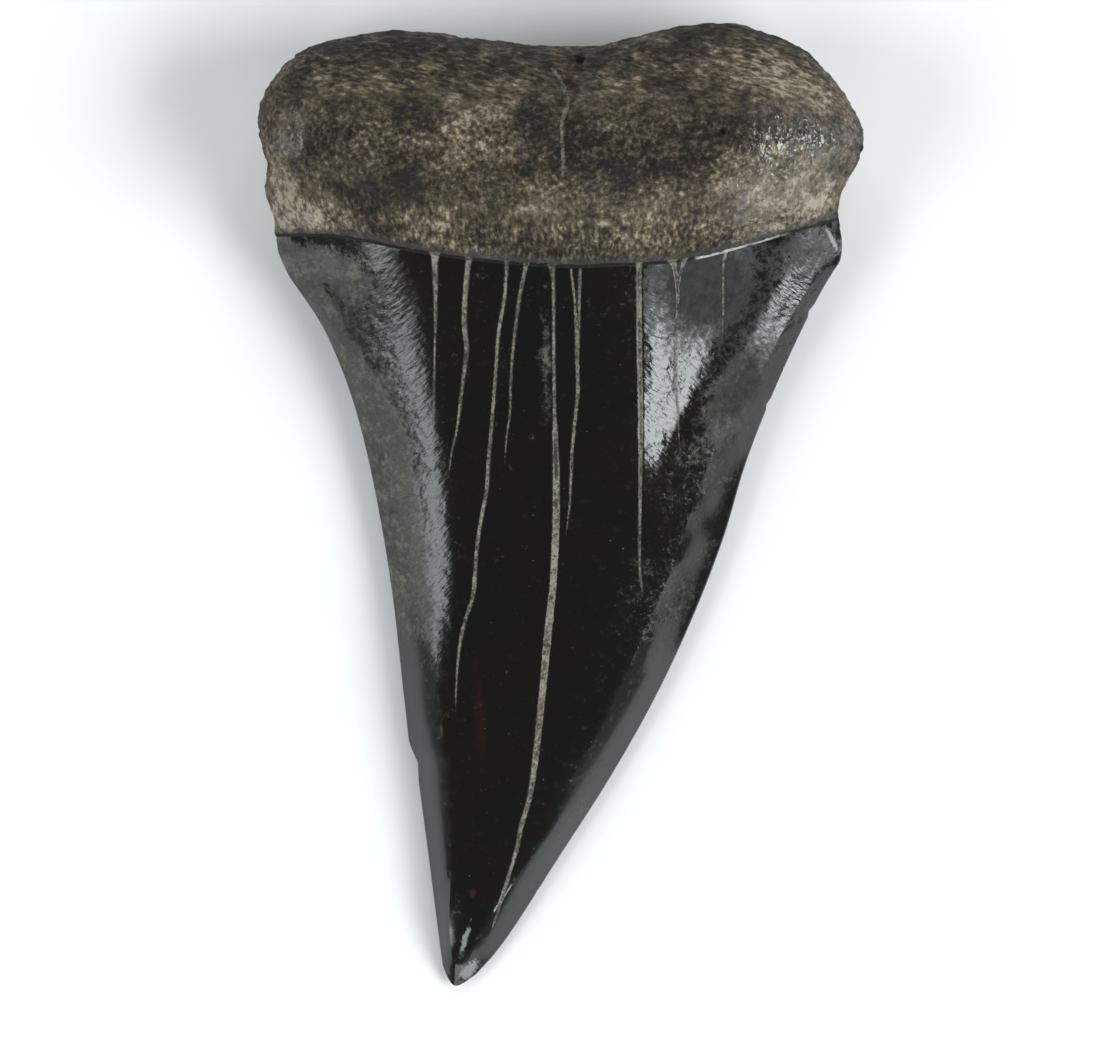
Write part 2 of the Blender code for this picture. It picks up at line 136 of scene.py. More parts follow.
# Places on the tooth, each as (x, y, radius across, radius along, turn in degrees, strength).
# Besides the bone's own tone, this table paints light and shade. Its first three spots are painted shade
# along the root's top rim. The spots at (16.8, 20.6) and (12.4, 20.1) are in part painted sheen, where the
# root's lower right faces the right light.
BONE_TONE_SHADE_AND_SHEEN = [  # lighter where the strength is positive, darker where it is negative
    (-11.0, 31.0, 8.0, 1.5, 0, -0.17), (10.5, 31.3, 8.0, 1.7, 0, -0.22), (0.5, 30.2, 5.0, 1.0, 0, -0.12),
    (-11.8, 22.0, 4.2, 2.0, -15, -0.17), (-2.5, 25.2, 1.8, 1.3, 0, -0.14),
    (2.2, 23.3, 3.0, 2.2, 0, -0.24), (5.6, 22.2, 2.6, 1.4, 0, -0.14), (6.6, 24.4, 2.0, 2.0, 0, -0.1),
    (-6.4, 25.7, 1.5, 1.9, 20, 0.28), (-7.2, 19.6, 2.0, 2.2, 0, 0.09), (-2.6, 19.4, 3.0, 1.9, 0, 0.05),
    (3.2, 18.6, 3.4, 1.6, 0, 0.01), (6.6, 18.6, 2.4, 1.8, 0, 0.05), (-3.5, 27.0, 2.5, 1.3, 0, 0.08),
    (-18.4, 20.4, 1.5, 2.6, 8, 0.44), (-16.8, 18.9, 2.0, 1.2, 0, 0.36), (-14.2, 18.8, 1.8, 0.8, -20, 0.16),
    (-15.6, 20.5, 1.9, 0.4, -35, 0.2), (16.8, 20.6, 2.4, 2.4, 0, 0.38), (12.4, 20.1, 2.2, 2.8, 0, 0.34),
    (15.6, 25.0, 3.8, 1.4, -10, -0.16), (10.8, 24.9, 1.6, 1.1, 0, -0.16),
    (13.4, 28.6, 3.8, 1.9, -15, 0.4), (9.2, 27.0, 2.6, 1.3, 12, 0.14), (16.8, 27.4, 2.4, 1.2, -40, 0.2),
    (-12.0, 27.8, 4.0, 0.9, 10, 0.06), (-16.6, 28.2, 1.6, 0.8, 12, 0.12),
]
BONE_WARMTH = [  # browner where positive, more olive where negative
    (-18.0, 20.0, 2.4, 2.6, 0, 0.1), (-3.6, 22.4, 1.4, 0.9, 0, 0.8), (0.0, 29.4, 1.3, 0.6, 0, 1.6),
    (0.6, 27.8, 0.6, 0.7, 0, 1.8), (16.8, 20.6, 2.6, 2.4, 0, 0.4), (-16.0, 28.0, 2.2, 0.8, 12, 0.3),
    (-7.0, 24.0, 1.5, 0.8, -60, 0.7), (-8.0, 20.0, 2.6, 2.4, 0, -0.5), (3.0, 18.6, 5.5, 1.6, 0, -0.6),
    (-12.0, 25.5, 3.5, 2.2, 0, -0.3), (2.5, 23.5, 3.4, 2.0, 0, -0.9), (-13.0, 21.5, 4.0, 1.8, 0, -0.5),
]
BONE_GLOSS = [  # worn smooth
    (15.8, 24.6, 4.2, 1.9, -8, 1.0), (13.0, 20.2, 2.8, 2.8, 0, 0.9), (17.0, 20.6, 1.8, 2.2, 0, 0.5),
    (-17.9, 24.6, 1.2, 1.8, 0, 0.8), (-16.5, 19.0, 1.0, 0.6, 0, 0.8), (7.4, 28.2, 3.0, 1.4, 0, 0.2),
]
ENAMEL_DULL = [  # etched, so that it shines less
    (-15.6, 14.8, 4.2, 1.8, -35, 0.35), (12.0, 7.6, 1.5, 3.6, -31, 1.2), (9.4, 14.9, 3.2, 3.5, 0, 1.6),
    (16.2, 16.8, 2.4, 1.5, 20, 0.6),
]
# The spot at (-11.1, 6.6) is painted sheen: it lightens the strip between the left bevel and the wrinkled
# band, where the tooth shines. The rest is real crust.
ENAMEL_FILM_AND_SHEEN = [  # under a thin pale crust
    (-16.9, 16.4, 2.2, 1.2, -12, 1.3), (-14.2, 14.9, 2.2, 1.5, -38, 1.0),
    (-11.1, 6.6, 0.9, 4.5, 21, 0.8), (-11.6, 15.2, 1.6, 1.6, 0, 0.3),
    (6.6, -6.2, 2.4, 4.2, -27, 0.65), (9.4, 3.0, 2.5, 5.5, -20, 0.7),
    (11.4, 9.5, 1.3, 3.6, -26, 0.6), (1.3, -20.2, 0.5, 0.9, -30, 0.5), (2.2, -18.6, 0.6, 3.4, -34, 0.6),
    (-1.0, 9.9, 0.42, 5.0, 0, 0.85), (1.9, 13.6, 1.2, 1.4, 0, 0.3), (17.0, 17.2, 1.8, 1.3, 0, 1.3),
    (14.0, 15.8, 2.0, 1.0, 20, 0.6), (-5.9, -31.0, 0.8, 0.5, 45, 0.6), (16.9, 12.2, 0.9, 5.0, -31, -0.5),
]
ENAMEL_RED = [  # stained a dark red
    (-5.4, -14.0, 0.7, 5.5, 4, 0.8), (-5.87, -25.9, 0.2, 0.35, 0, 2.5), (13.6, 6.5, 0.7, 2.5, -25, 0.7),
    (-8.0, 3.0, 1.0, 4.0, 0, 0.3), (6.5, -13.5, 0.8, 2.5, -30, 0.4),
]
# Three of these spots are painted highlights: the streak along the keel at (-6.4, -29.0), the spot at the
# right shoulder's top at (18.05, 17.7) and the small one on the left edge at (-7.9, -27.8). The other two
# are white scratches at the tip.
ENAMEL_SCRATCHES_AND_HIGHLIGHTS = [  # scratched white, at the tip and along its keel
    (-6.0, -30.9, 0.4, 0.8, -35, 1.2), (-6.4, -29.0, 0.15, 1.1, -16, 1.7), (-6.5, -31.3, 0.4, 0.4, 0, 0.6),
    (-7.9, -27.8, 0.08, 0.4, 0, 0.7), (18.05, 17.7, 0.14, 0.8, 28, 1.7),
]
CRACK_CORE = [  # where the middle of a crack is dark
    (-0.35, 2.2, 0.6, 2.6, 0, 1.3), (1.15, 12.0, 0.5, 3.5, 0, 0.7), (7.75, 14.8, 0.6, 1.3, 0, 1.2),
    (-4.4, 6.0, 0.5, 2.5, 0, 0.5), (-1.2, -11.0, 0.6, 2.5, 0, 0.6), (5.4, 8.0, 0.5, 5.0, 0, 0.6),
]
CRINKLE = [  # finely wrinkled
    (-12.4, 11.0, 3.2, 4.4, 22, 1.5), (-9.4, 2.0, 1.7, 7.0, 8, 1.7), (-8.3, -6.5, 0.9, 4.5, 3, 1.4),
    (7.6, 8.0, 2.8, 5.5, -8, 1.6), (15.2, 13.0, 1.4, 4.6, -31, 1.5),
]
# Holes in the root's lingual face, as (x, y, radius, depth).
HOLES = [
    (1.3, 29.7, 0.42, 0.5), (0.6, 27.9, 0.6, 0.22), (-0.35, 26.6, 0.55, 0.2), (0.25, 25.6, 0.16, 0.2),
    (0.1, 24.5, 0.14, 0.15), (0.15, 22.2, 0.18, 0.2), (4.7, 25.9, 0.3, 0.12), (10.7, 24.8, 0.4, 0.3),
    (12.9, 24.3, 0.35, 0.3), (-17.0, 22.0, 0.28, 0.25), (-10.6, 28.3, 0.3, 0.15), (6.0, 22.6, 0.2, 0.12),
]
# Fine lines on the root, each as (x, y, half width): pale ones, filled like the cracks, and open ones.
ROOT_SEAM = [
    (-0.6, 29.0, 0.1), (0.0, 28.2, 0.14), (0.35, 27.2, 0.16), (0.42, 26.4, 0.12), (0.1, 25.6, 0.12),
    (0.05, 24.4, 0.1), (0.15, 23.0, 0.12), (0.1, 22.0, 0.06),
]
ROOT_SLITS = [
    [(-19.7, 22.9, 0.1), (-19.2, 22.2, 0.16), (-18.4, 21.5, 0.14), (-17.8, 20.7, 0.06)],
    [(-17.3, 22.9, 0.08), (-17.15, 22.0, 0.14), (-17.2, 21.2, 0.05)],
    [(18.0, 19.3, 0.08), (18.6, 19.5, 0.1)],
]
# The bone's weave runs down up to this far above the neck, and begins to run level at this y.
WEAVE_DOWN, WEAVE_LEVEL = 5.5, 25.0
# Chips out of the cutting edges, as (x, y, radius, depth): out of the left one left of CHIPS_SPLIT.
CHIPS = [
    (16.75, 12.9, 0.5, 0.14), (13.9, 6.7, 0.45, 0.12), (-9.65, -17.2, 0.35, 0.06),
    (-1.7, -25.6, 0.4, 0.07),
]
CHIPS_SPLIT = -6.0
# Between these x the enamel's lip stands up at the neck as a thin bright line.
LIP_FROM, LIP_TO = 8.8, 15.4

# Spacing of the fine mesh's points, on the root and on the crown, of each face.
LINGUAL_SPACING = (0.135, 0.27)
LABIAL_SPACING = (0.25, 0.4)
RIM_STEP = 0.2
# Rows of points: how far inside the rim of the root and of the crown, and how far above the neck.
ROOT_ROWS = [0.02, 0.06, 0.12, 0.2, 0.3, 0.42, 0.56, 0.72, 0.9, 1.1, 1.33, 1.55]
CROWN_ROWS = [0.08, 0.24, 0.48]
NECK_FOOT = 0.22  # from the neck's line down to where the bone ends on the enamel
NECK_ROWS = [-0.36, -NECK_FOOT, -0.1, 0.0, 0.1, 0.2]
RELIEF_SPLIT = 0.04  # further above the neck's line than this, the relief is the bone's

BEVEL_SWELL, BEVEL_HOLLOW = 0.16, 0.13  # the left bevel's rounding and the right one's hollow
HOLLOW_TOP, HOLLOW_FOOT = 6.0, -12.0  # the y between which the right bevel is hollow
LOW_FROM = -7.0  # below this y the left bevel's inner side is as sharp as the right one
RIDGE_REACH = 0.4  # about how far from a bevel's inner side the CAD's edge is kept sharp
SMOOTHING = 24  # passes that take the CAD's facets out of the fine mesh
SMOOTHING_STEP = 0.16  # each pass evens the surface out over about this far


# ---------------------------------------------------------------- curves and distances


def smooth_curve(points, spacing, closed=False):
    """Points about SPACING apart on a Catmull-Rom curve through POINTS, in any number of columns."""
    p = np.array(points, float)
    p = np.vstack([p[-1], p, p[0], p[1]]) if closed else np.vstack([p[0], p, p[-1]])
    made = []
    for a, b, c, d in zip(p, p[1:], p[2:], p[3:]):
        steps = max(1, round(math.dist(b[:2], c[:2]) / spacing))
        for t in np.arange(steps) / steps:
            bend = (2 * a - 5 * b + 4 * c - d) * t**2 + (3 * b - a - 3 * c + d) * t**3
            made.append(b + 0.5 * ((c - a) * t + bend))
    return np.array(made if closed else [*made, p[-1]])


def nearest(line, points):
    """For each of POINTS, its distance from the polyline LINE, and LINE's columns after x and y there."""
    starts, runs = line[:-1], np.diff(line, axis=0)
    found = []
    for part in np.array_split(points[:, :2], max(1, len(points) * len(line) // 2_000_000)):
        offsets = part[:, None] - starts[:, :2]
        share = np.clip((offsets * runs[:, :2]).sum(2) / (runs[:, :2] ** 2).sum(1), 0, 1)
        distance = np.linalg.norm(offsets - share[..., None] * runs[:, :2], axis=2)
        best = distance.argmin(1)
        row = np.arange(len(part))
        other = starts[best, 2:] + share[row, best][:, None] * runs[best, 2:]
        found.append(np.column_stack([distance[row, best], other]))
    return np.vstack(found)


def eased(share):
    share = np.clip(share, 0, 1)
    return share**2 * (3 - 2 * share)


def places(points, table):
    """Sum of soft spots at POINTS, for a TABLE of (x, y, radius across, radius along, turn, strength)."""
    total = np.zeros(len(points))
    for x, y, across, along, turn, strength in table:
        c, s = math.cos(math.radians(turn)), math.sin(math.radians(turn))
        dx, dy = points[:, 0] - x, points[:, 1] - y
        total += strength * np.exp(-(((c * dx + s * dy) / across) ** 2) - ((c * dy - s * dx) / along) ** 2)
    return total


def noise_of(points, size, seed=0.0, turn=0.0):
    """Smooth noise from -1 to 1, in lumps of SIZE (one number, or one an axis), turned about z."""
    c, s = math.cos(math.radians(turn)), math.sin(math.radians(turn))
    turned = points @ np.array([[c, -s, 0], [s, c, 0], [0, 0, 1]])
    return np.array([noise.noise(p) for p in (turned / size + seed).tolist()])


def ridged(values):
    """Turns smooth noise into thin ridges, 1, between wide hollows, towards -1."""
    return np.clip(1 - 5 * np.abs(values), -1, 1)


def tree_of(points):
    tree = KDTree(len(points))
    for i, point in enumerate(points):
        tree.insert((*point[:2], 0), i)
    tree.balance()
    return tree


def clear_of(points, tree, gap):
    """Those of POINTS that are further than GAP from every point in TREE."""
    return points[[tree.find((*p[:2], 0))[2] > gap for p in points]]


LINGUAL = smooth_curve(LINGUAL_NECK, 0.5)
LABIAL = smooth_curve(LABIAL_NECK, 0.5)
BEVELS = [smooth_curve(line, 0.25) for line in (LEFT_BEVEL, RIGHT_BEVEL)]


# ---------------------------------------------------------------- the fine mesh


def cad_solid():
    """The CAD tooth as merged points in millimetres, its triangles, and its rim in clockwise order."""
    bm = bmesh.new()
    bm.from_mesh(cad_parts["tooth"].data)
    bmesh.ops.remove_doubles(bm, verts=bm.verts, dist=0.001 * MM)
    bmesh.ops.triangulate(bm, faces=bm.faces)
    bm.normal_update()
    points = np.array([v.co[:] for v in bm.verts]) / MM
    triangles = [[v.index for v in f.verts] for f in bm.faces]
    beside = {}
    for edge in bm.edges:
        up, down = (face.normal.z > 0 for face in edge.link_faces)
        if up != down:
            for vertex in edge.verts:
                beside.setdefault(vertex, []).append(edge.other_vert(vertex))
    tip = min(beside, key=lambda v: v.co.y)
    loop = [tip, min(beside[tip], key=lambda v: v.co.x)]
    while len(loop) < len(beside):
        loop.append(next(v for v in beside[loop[-1]] if v != loop[-2]))
    rim = np.array([v.co[:] for v in loop]) / MM
    bm.free()
    return points, triangles, rim


def sideways(line):
    """Unit vectors to the right of each point of LINE."""
    ahead = np.gradient(line[:, :2], axis=0)
    return np.column_stack([ahead[:, 1], -ahead[:, 0]]) / np.linalg.norm(ahead, axis=1)[:, None]


def inset(rim, tree, distance):
    """The rim moved inward by DISTANCE."""
    ahead = np.roll(rim, -1, axis=0) - np.roll(rim, 1, axis=0)
    inward = np.column_stack([ahead[:, 1], -ahead[:, 0]])
    inward /= np.linalg.norm(inward, axis=1)[:, None]
    return clear_of(rim[:, :2] + distance * inward, tree, 0.9 * distance)


def within(rim, points):
    """Those of POINTS that are inside the rim."""
    inside = np.zeros(len(points), bool)
    for (x0, y0), (x1, y1) in zip(rim[:, :2], np.roll(rim[:, :2], -1, axis=0)):
        crosses = (points[:, 1] < y0) != (points[:, 1] < y1)
        x_there = x0 + (x1 - x0) * (points[:, 1] - y0) / (y1 - y0 or 1)
        inside ^= crosses & (points[:, 0] < x_there)
    return points[inside]


def lattice(rim, spacing):
    """A triangular lattice of points inside the rim."""
    low, high = rim[:, :2].min(0), rim[:, :2].max(0)
    rows = np.arange(low[1], high[1], spacing * math.sqrt(3) / 2)
    columns = np.arange(low[0], high[0], spacing)
    x, y = np.meshgrid(columns, rows)
    x[1::2] += spacing / 2
    return within(rim, np.column_stack([x.ravel(), y.ravel()]))


def crack_rows():
    """Rows of points along the middle of each crack, its two brinks, its two walls and beside them."""
    rows = []
    for crack in CRACKS:
        line = smooth_curve(crack, CRACK_STEP)
        half = line[:, 2:] / 2
        for reach in (0 * half, half + 0.04, 0.5 * half, half + 0.17):
            rows += [line[:, :2] + side * reach * sideways(line) for side in (1, -1)]
    return rows


def bevel_rows():
    """Rows of points along the bevels' inner sides and just beside them."""
    rows = []
    for line in BEVELS:
        line = line[line[:, 1] < SHOULDER_Y - 2]
        rows += [line + reach * sideways(line) for reach in (0, -0.16, 0.16)]
    return rows


def neck_rows(neck):
    """Rows of points along the neck's line and on either side of it."""
    line = smooth_curve(neck, 0.16)
    return [line - distance * sideways(line) for distance in NECK_ROWS]


def sheet_points(rim, neck, spacing, lines):
    """Points of one face inside the rim: rows along LINES and the rim, and a lattice between them."""
    tree = tree_of(rim)
    rows = [row[row[:, 1] > SHOULDER_Y] for row in (inset(rim, tree, d) for d in ROOT_ROWS)]
    rows += [row[row[:, 1] <= SHOULDER_Y] for row in (inset(rim, tree, d) for d in CROWN_ROWS)]
    kept = np.vstack([rim[:, :2], *(within(rim, row) for row in rows)])
    for line in lines:
        kept = np.vstack([kept, clear_of(within(rim, line), tree_of(kept), 0.06)])
    tree = tree_of(kept)
    for step, root in zip(spacing, (True, False)):
        points = lattice(rim, step)
        above = points[:, 1] > np.interp(points[:, 0], neck[:, 0], neck[:, 1])
        kept = np.vstack([kept, clear_of(points[above == root], tree, 0.6 * step)])
    return kept


def triangulate(points, rim_count):
    made = delaunay_2d_cdt([Vector(p) for p in points], [], [range(rim_count)], 1, 1e-6)
    first = np.array([min(source) for source in made[3]])
    return first[np.array(made[2])]


def project(points, solid, rim, side):
    """Height of each of POINTS on the CAD solid, seen from above (SIDE 1) or below (SIDE -1)."""
    tree = tree_of(rim)
    heights = []
    for x, y in points:
        hit = solid.ray_cast((x, y, 50 * side), (0, 0, -side))[0]
        heights.append(hit.z if hit else rim[tree.find((x, y, 0))[1], 2])
    return np.array(heights)


def fine_mesh():
    """Points and triangles of the tooth, and the face of each point: 0 rim, 1 lingual, -1 labial."""
    points, triangles, cad_rim = cad_solid()
    solid = BVHTree.FromPolygons(points.tolist(), triangles)
    rim = smooth_curve(cad_rim, RIM_STEP, closed=True)
    lines = [*neck_rows(LINGUAL_NECK), *bevel_rows(), *crack_rows()]
    lingual = sheet_points(rim, LINGUAL, LINGUAL_SPACING, lines)
    labial = sheet_points(rim, LABIAL, LABIAL_SPACING, neck_rows(LABIAL_NECK))
    above = triangulate(lingual, len(rim))
    below = triangulate(labial, len(rim))[:, ::-1]
    below = np.where(below < len(rim), below, below + len(lingual) - len(rim))
    lingual, labial = lingual[len(rim):], labial[len(rim):]
    made = np.vstack([
        rim,
        np.column_stack([lingual, project(lingual, solid, rim, 1)]),
        np.column_stack([labial, project(labial, solid, rim, -1)]),
    ])
    face = np.repeat([0, 1, -1], [len(rim), len(lingual), len(labial)])
    return made, np.vstack([above, below]), face


def neighbours(triangles):
    ends = np.vstack([triangles[:, [0, 1]], triangles[:, [1, 2]], triangles[:, [2, 0]]])
    return np.unique(np.sort(ends, axis=1), axis=0)


def sums_at(indices, values, count):
    """Sum of the rows of VALUES that belong to each index."""
    return np.array([np.bincount(indices, column, count) for column in values.T]).T


def normals_of(points, triangles):
    a, b, c = points[triangles].transpose(1, 0, 2)
    facing = np.cross(b - a, c - a)
    total = sum(sums_at(corner, facing, len(points)) for corner in triangles.T)
    return total / np.maximum(np.linalg.norm(total, axis=1), 1e-9)[:, None]


def smooth(points, triangles, free):
    """Evens the surface out: moves each point along its normal towards its neighbours' average."""
    a, b = neighbours(triangles).T
    lengths = np.linalg.norm(points[a] - points[b], axis=1)
    count = np.bincount(a, minlength=len(points)) + np.bincount(b, minlength=len(points))
    spacing = (np.bincount(a, lengths, len(points)) + np.bincount(b, lengths, len(points))) / count
    share = 0.6 * free * np.clip((SMOOTHING_STEP / spacing) ** 2, 0, 1)
    for _ in range(SMOOTHING):
        normals = normals_of(points, triangles)
        beside = sums_at(a, points[b], len(points)) + sums_at(b, points[a], len(points))
        towards = beside / count[:, None] - points
        points = points + (share * (normals * towards).sum(1))[:, None] * normals
    return points


# ---------------------------------------------------------------- relief and masks


def above_neck(points, face):
    """Signed distance from the neck's line on each face: positive on the root, negative on the crown."""
    signed = np.zeros(len(points))
    for neck, here in ((LINGUAL, face >= 0), (LABIAL, face < 0)):
        side = np.sign(points[here, 1] - np.interp(points[here, 0], neck[:, 0], neck[:, 1]))
        signed[here] = side * nearest(neck, points[here])[:, 0]
    return signed


def past_bevels(points):
    """How far each point is outside the left and the right bevel's inner side: positive on the bevel."""
    left, right = np.array(LEFT_BEVEL), np.array(RIGHT_BEVEL)
    x, y = points[:, 0], points[:, 1]
    past_left = 0.95 * (np.interp(y, left[:, 1], left[:, 0]) - x)
    past_right = 0.85 * (x - np.interp(y, right[:, 1], right[:, 0]))
    tip = y < left[0, 1]
    return np.where(tip, 1.0, past_left), np.where(tip, 1.0, past_right)


def crack_masks(points, face, neck):
    """Each point's distance from the nearest crack, and that crack's width there."""
    crack, width = np.full(len(points), 9.0), np.zeros(len(points))
    upper = np.flatnonzero(face >= 0)
    for line in CRACKS:
        distance, wide = nearest(smooth_curve(line, CRACK_STEP), points[upper]).T
        closer = distance < crack[upper]
        crack[upper[closer]], width[upper[closer]] = distance[closer], wide[closer]
    return crack, width * (1 + CRACK_FLARE * np.exp(-np.abs(neck) / 0.2))


def bone_run(points, neck):
    """How far the bone's weave runs down, towards the crown, and level, along the root's top."""
    down = eased((WEAVE_DOWN - neck) / 4.0)
    return down, eased((points[:, 1] - WEAVE_LEVEL) / 3.5) * (1 - down)


def bone_grain(points, neck):
    """The bone's weave, from -1 in its pores to 1 on its threads, which run down near the neck."""
    down, level = bone_run(points, neck)
    knots = 0.6 * ridged(noise_of(points, 0.55, 3.0)) + 0.4 * ridged(noise_of(points, 0.3, 8.0))
    fibres = ridged(noise_of(points, (0.36, 1.3, 0.6), 5.0, -4.0))
    bands = ridged(noise_of(points, (1.5, 0.36, 0.5), 6.0, 14.0))
    return knots + (0.7 * fibres - 0.6 * knots) * down + (0.7 * bands - 0.6 * knots) * level


def bone_relief(points, grain, neck, face):
    """Height of the bone's surface over the smooth solid."""
    upper = face >= 0
    worn = np.clip(places(points, BONE_GLOSS), 0, 1) * upper
    relief = 0.065 * (1 - 0.6 * worn) * grain
    relief += 0.09 * noise_of(points, 1.7, 3.0) + 0.06 * noise_of(points, 0.8, 7.0)
    relief += 0.05 * worn * ridged(0.6 * noise_of(points, (0.7, 1.2, 0.7), 12.0, -8.0))
    pores = np.array([noise.voronoi(p)[0][0] for p in (points / 1.3 + 2.0).tolist()])
    relief -= 0.12 * (1 - eased(pores / 0.16))
    for x, y, radius, depth in HOLES:
        reach = np.hypot(points[:, 0] - x, points[:, 1] - y) / radius
        relief -= depth * (1 - eased((reach - 0.35) / 0.65)) * upper
    for slit in ROOT_SLITS:
        distance, half = nearest(smooth_curve(slit, 0.15), points).T
        relief -= 0.22 * (1 - eased(distance / (2 * half))) * upper
    relief += 0.03 * np.exp(-neck / 0.7) * upper
    return relief


def lip_of(points):
    """1 along the part of the neck where the enamel has a lip, 0 away from it."""
    return eased((points[:, 0] - LIP_FROM) / 0.4) * eased((LIP_TO - points[:, 0]) / 1.5)


def enamel_relief(points, crinkle, crack, width, neck, face):
    """Height of the enamel's surface over the smooth solid."""
    ripples = 0.6 * noise_of(points, (0.9, 2.0, 1.0), 4.0, 35.0) + 0.4 * noise_of(points, 0.7, 9.0)
    relief = (0.0015 + 0.012 * crinkle) * ripples
    half = width / 2
    inside = eased((half + 0.04 - crack) / (0.5 * half + 0.04)) * eased((width - 0.08) / 0.1)
    relief -= CRACK_DEPTH * inside
    lip = lip_of(points)
    step = np.where(face >= 0, -0.01 * (1 - lip) + 0.04 * lip, 0)
    return relief + step * eased((neck + 0.2) / 0.1)


def bevel_swell(points, past, face):
    """1 midway across a bevel, 0 at its cutting edge and at its inner side, from which PAST is measured."""
    rim = points[face == 0]
    here = (past > 0) & (face > 0) & (points[:, 1] < SHOULDER_Y - 3)
    gap = nearest(np.vstack([rim, rim[:1]]), points[here])[:, 0]
    swell = np.zeros(len(points))
    swell[here] = np.sin(math.pi * past[here] / (past[here] + gap))
    return swell


def chipped(points):
    """POINTS with those round each chip in a cutting edge moved in from it."""
    points = points.copy()
    for x, y, radius, depth in CHIPS:
        reach = np.hypot(points[:, 0] - x, points[:, 1] - y) / radius
        points[:, 0] -= math.copysign(depth, x - CHIPS_SPLIT) * (1 - eased(reach))
    return points


def crispness(points, face, neck, low):
    """How much each point is kept from being smoothed, 0 to 1, and which points lie on a ridge."""
    to_left, to_right = (nearest(line, points)[:, 0] for line in BEVELS)
    near_left, near_right = (np.exp(-((to / RIDGE_REACH) ** 2)) for to in (to_left, to_right))
    crisp = np.maximum(near_left * low, near_right) * (face > 0) * (neck < -2)
    on_ridge = ((to_right < 0.01) | (to_left < 0.01) & (low > 0.3)) & (crisp > 0)
    return np.maximum(crisp, eased((0.6 - np.abs(neck)) / 0.2) * (face != 0)), on_ridge


def masks_of(points, face, neck, low):
    """What the relief and the materials go by at each point, by attribute name."""
    crack, width = crack_masks(points, face, neck)
    past_left, past_right = past_bevels(points)
    crinkle = np.clip(places(points, CRINKLE), 0, 1) * (face >= 0)
    down, level = bone_run(points, neck)
    root = neck > RELIEF_SPLIT
    grain = np.zeros(len(points))
    grain[root] = bone_grain(points[root], neck[root])
    return {
        "down": down,
        "level": level,
        "neck": neck,
        "crack": crack,
        "crack_width": width,
        "left_bevel": past_left,
        "right_bevel": past_right,
        "low": low,
        "grain": grain,
        "tone": places(points, BONE_TONE_SHADE_AND_SHEEN),
        "warmth": places(points, BONE_WARMTH),
        "gloss": places(points, BONE_GLOSS),
        "seam": nearest(smooth_curve(ROOT_SEAM, 0.15), points) @ (1, -1),
        "dull": places(points, ENAMEL_DULL),
        "film": places(points, ENAMEL_FILM_AND_SHEEN),
        "red": places(points, ENAMEL_RED),
        "left_crinkle": crinkle * (points[:, 0] < 0),
        "right_crinkle": crinkle * (points[:, 0] >= 0),
        "pale": places(points, ENAMEL_SCRATCHES_AND_HIGHLIGHTS),
        "core": places(points, CRACK_CORE),
        "lip": lip_of(points),
        "lingual": 1.0 * (face >= 0),
        "right_half": eased(0.5 + (past_right - past_left) / 4),
    }


def relief_of(points, face, masks):
    """Height of the tooth's surface over the smooth solid."""
    neck, crinkle = masks["neck"], masks["left_crinkle"] + masks["right_crinkle"]
    relief = np.zeros(len(points))
    root = neck > RELIEF_SPLIT
    relief[root] = bone_relief(points[root], masks["grain"][root], neck[root], face[root])
    of_enamel = (points, crinkle, masks["crack"], masks["crack_width"], neck, face)
    relief[~root] = enamel_relief(*(values[~root] for values in of_enamel))
    swell = BEVEL_SWELL * (1 - 0.8 * masks["low"])
    relief += swell * bevel_swell(points, masks["left_bevel"], face) * (neck < 0)
    hollow = eased((HOLLOW_TOP - points[:, 1]) / 5) * eased((points[:, 1] - HOLLOW_FOOT) / 4)
    relief -= BEVEL_HOLLOW * hollow * bevel_swell(points, masks["right_bevel"], face) * (neck < 0)
    relief[(face == 0) & (points[:, 1] < SHOULDER_Y)] = 0
    return relief


def build_mesh(points, triangles, masks, on_ridge):
    """The tooth's mesh: bone down to the neck's foot, enamel below, and sharp edges on the ridges."""
    mesh = bpy.data.meshes.new("tooth_surface")
    mesh.from_pydata((points * MM).tolist(), [], triangles.tolist())
    mesh.shade_smooth()
    corners = points[triangles]
    side = np.sign(np.cross(corners[:, 1] - corners[:, 0], corners[:, 2] - corners[:, 0])[:, 2])
    is_bone = above_neck(corners.mean(axis=1), side) > -NECK_FOOT
    mesh.polygons.foreach_set("material_index", is_bone.astype(np.int32))
    on_foot = np.isin(np.arange(len(points)), np.intersect1d(triangles[is_bone], triangles[~is_bone]))
    ends = np.zeros(2 * len(mesh.edges), np.int32)
    mesh.edges.foreach_get("vertices", ends)
    sharp = [marked[ends.reshape(-1, 2)].all(axis=1) for marked in (on_ridge, on_foot)]
    mesh.attributes.new("sharp_edge", "BOOLEAN", "EDGE").data.foreach_set("value", sharp[0] | sharp[1])
    for name, values in masks.items():
        mesh.attributes.new(name, "FLOAT", "POINT").data.foreach_set("value", values.astype(np.float32))
    mesh.materials.append(enamel_material())
    mesh.materials.append(bone_material())
    return mesh


def make_tooth():
    """The tooth: the CAD solid as a fine mesh, smoothed, with its relief and its masks."""
    points, triangles, face = fine_mesh()
    neck = above_neck(points, face)
    edge = (face == 0) & (points[:, 1] < SHOULDER_Y)
    low = eased((LOW_FROM - points[:, 1]) / 4)
    crisp, on_ridge = crispness(points, face, neck, low)
    points = chipped(smooth(points, triangles, (1 - crisp) * ~edge))
    masks = masks_of(points, face, neck, low)
    points = points + normals_of(points, triangles) * relief_of(points, face, masks)[:, None]
    points = np.clip(points, *(np.array(corner) / MM for corner in cad_box))
    tooth = bpy.data.objects.new("tooth_surface", build_mesh(points, triangles, masks, on_ridge))
    bpy.context.scene.collection.objects.link(tooth)
    return tooth


# ---------------------------------------------------------------- materials


